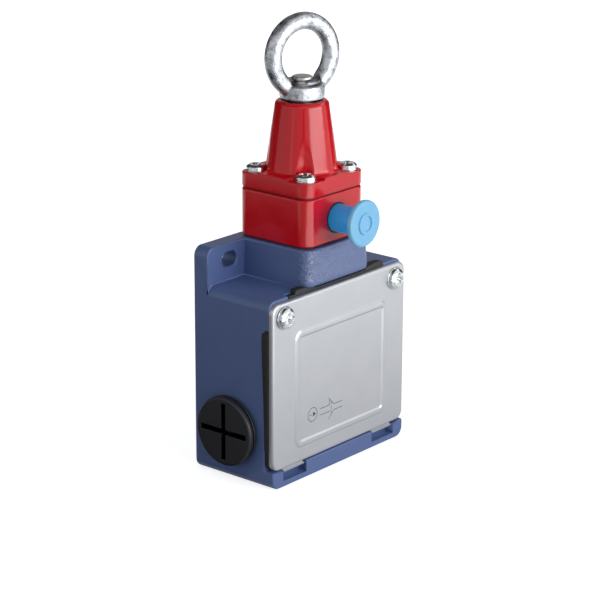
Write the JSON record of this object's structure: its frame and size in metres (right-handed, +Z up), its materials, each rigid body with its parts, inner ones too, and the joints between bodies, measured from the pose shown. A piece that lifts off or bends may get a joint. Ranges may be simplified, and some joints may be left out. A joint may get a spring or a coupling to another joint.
{
  "type": "rope pull switch",
  "caption": "Machine safety rope pull switch: flat metal body with cable entries, square latching head with a tapered cap, swivelling pull eye and pull-to-reset knob",
  "frame": {"origin": "On the rear mounting face, midway between the centres of the two fixing slots", "axes": "+X to the right, +Y backwards out of the mounting face, +Z up along the pull; the cover and the reset knob face -Y"},
  "size_m": [0.0696, 0.0407, 0.1381],
  "materials": {
    "housing_enamel": "semi-gloss blue enamel on die-cast alloy",
    "red_enamel": "gloss red enamel on die-cast alloy",
    "cover_sheet": "satin silver lacquer on steel sheet",
    "black_rubber": "matt black",
    "black_polyamide": "satin black moulding",
    "zinc_plated_steel": "bright zinc plate",
    "bright_steel": "ground bright steel",
    "spring_steel": "drawn spring steel",
    "galvanised_steel": "galvanised forging, fine grain",
    "bronze": "sintered bronze",
    "white_acetal": "natural acetal",
    "blue_plastic": "light blue moulding",
    "ivory_thermoset": "ivory thermoset moulding",
    "clear_polycarbonate": "clear moulding",
    "copper_alloy": "copper alloy with silver contacts",
    "terminal_brass": "plain brass"
  },
  "bodies": {
    "housing": {"body_housing": "housing_enamel", "cover_plate": "cover_sheet", "cover_gasket": "black_rubber", "cover_screws": "zinc_plated_steel", "cable_plug_left": "black_polyamide", "cable_plug_right": "black_polyamide", "plug_seals": "black_rubber", "head_block": "red_enamel", "block_gasket": "black_rubber", "head_cap": "red_enamel", "cap_gasket": "black_rubber", "head_screws": "zinc_plated_steel", "guide_bush": "bronze", "lower_bush": "white_acetal", "shaft_wiper": "black_rubber", "return_spring": "spring_steel", "knob_seal": "black_rubber", "latch_guide": "bronze", "latch_spring": "spring_steel", "contact_base": "ivory_thermoset", "contact_cover": "clear_polycarbonate", "plunger_seal": "black_rubber", "plunger_spring": "spring_steel", "terminal_plates": "terminal_brass", "terminal_clamps": "zinc_plated_steel", "terminal_screws": "zinc_plated_steel", "base_screws": "zinc_plated_steel", "earth_screw": "zinc_plated_steel", "earth_clamp": "zinc_plated_steel"},
    "shaft": {"pull_shaft": "bright_steel", "retaining_clip": "spring_steel"},
    "eye": {"pull_eye": "galvanised_steel"},
    "reset": {"reset_knob": "blue_plastic", "latch_bolt": "bright_steel"},
    "plunger": {"contact_plunger": "white_acetal", "upper_bridge": "copper_alloy", "lower_bridge": "copper_alloy", "bridge_springs": "spring_steel"}
  },
  "joints": [
    {"name": "pull_slide", "type": "slide", "parent": "housing", "child": "shaft", "axis": [0, 0, 1], "range_m": [0, 0.006], "stiffness_N_per_m": 2000, "springref_m": -0.004, "deforming": ["return_spring"]},
    {"name": "eye_swivel", "type": "hinge", "parent": "shaft", "child": "eye", "pos_m": [0, -0.01545, 0.0498], "axis": [0, 0, 1], "continuous": true},
    {"name": "reset_slide", "type": "slide", "parent": "housing", "child": "reset", "axis": [0, -1, 0], "range_m": [0, 0.003], "stiffness_N_per_m": 600, "springref_m": -0.003, "deforming": ["latch_spring"]},
    {"name": "plunger_slide", "type": "slide", "parent": "housing", "child": "plunger", "axis": [0, 0, 1], "range_m": [0, 0.006], "stiffness_N_per_m": 200, "springref_m": 0.008, "deforming": ["plunger_spring"]}
  ],
  "couplings": [
    {"joint": "plunger_slide", "follows": "pull_slide", "ratio": 1}
  ]
}
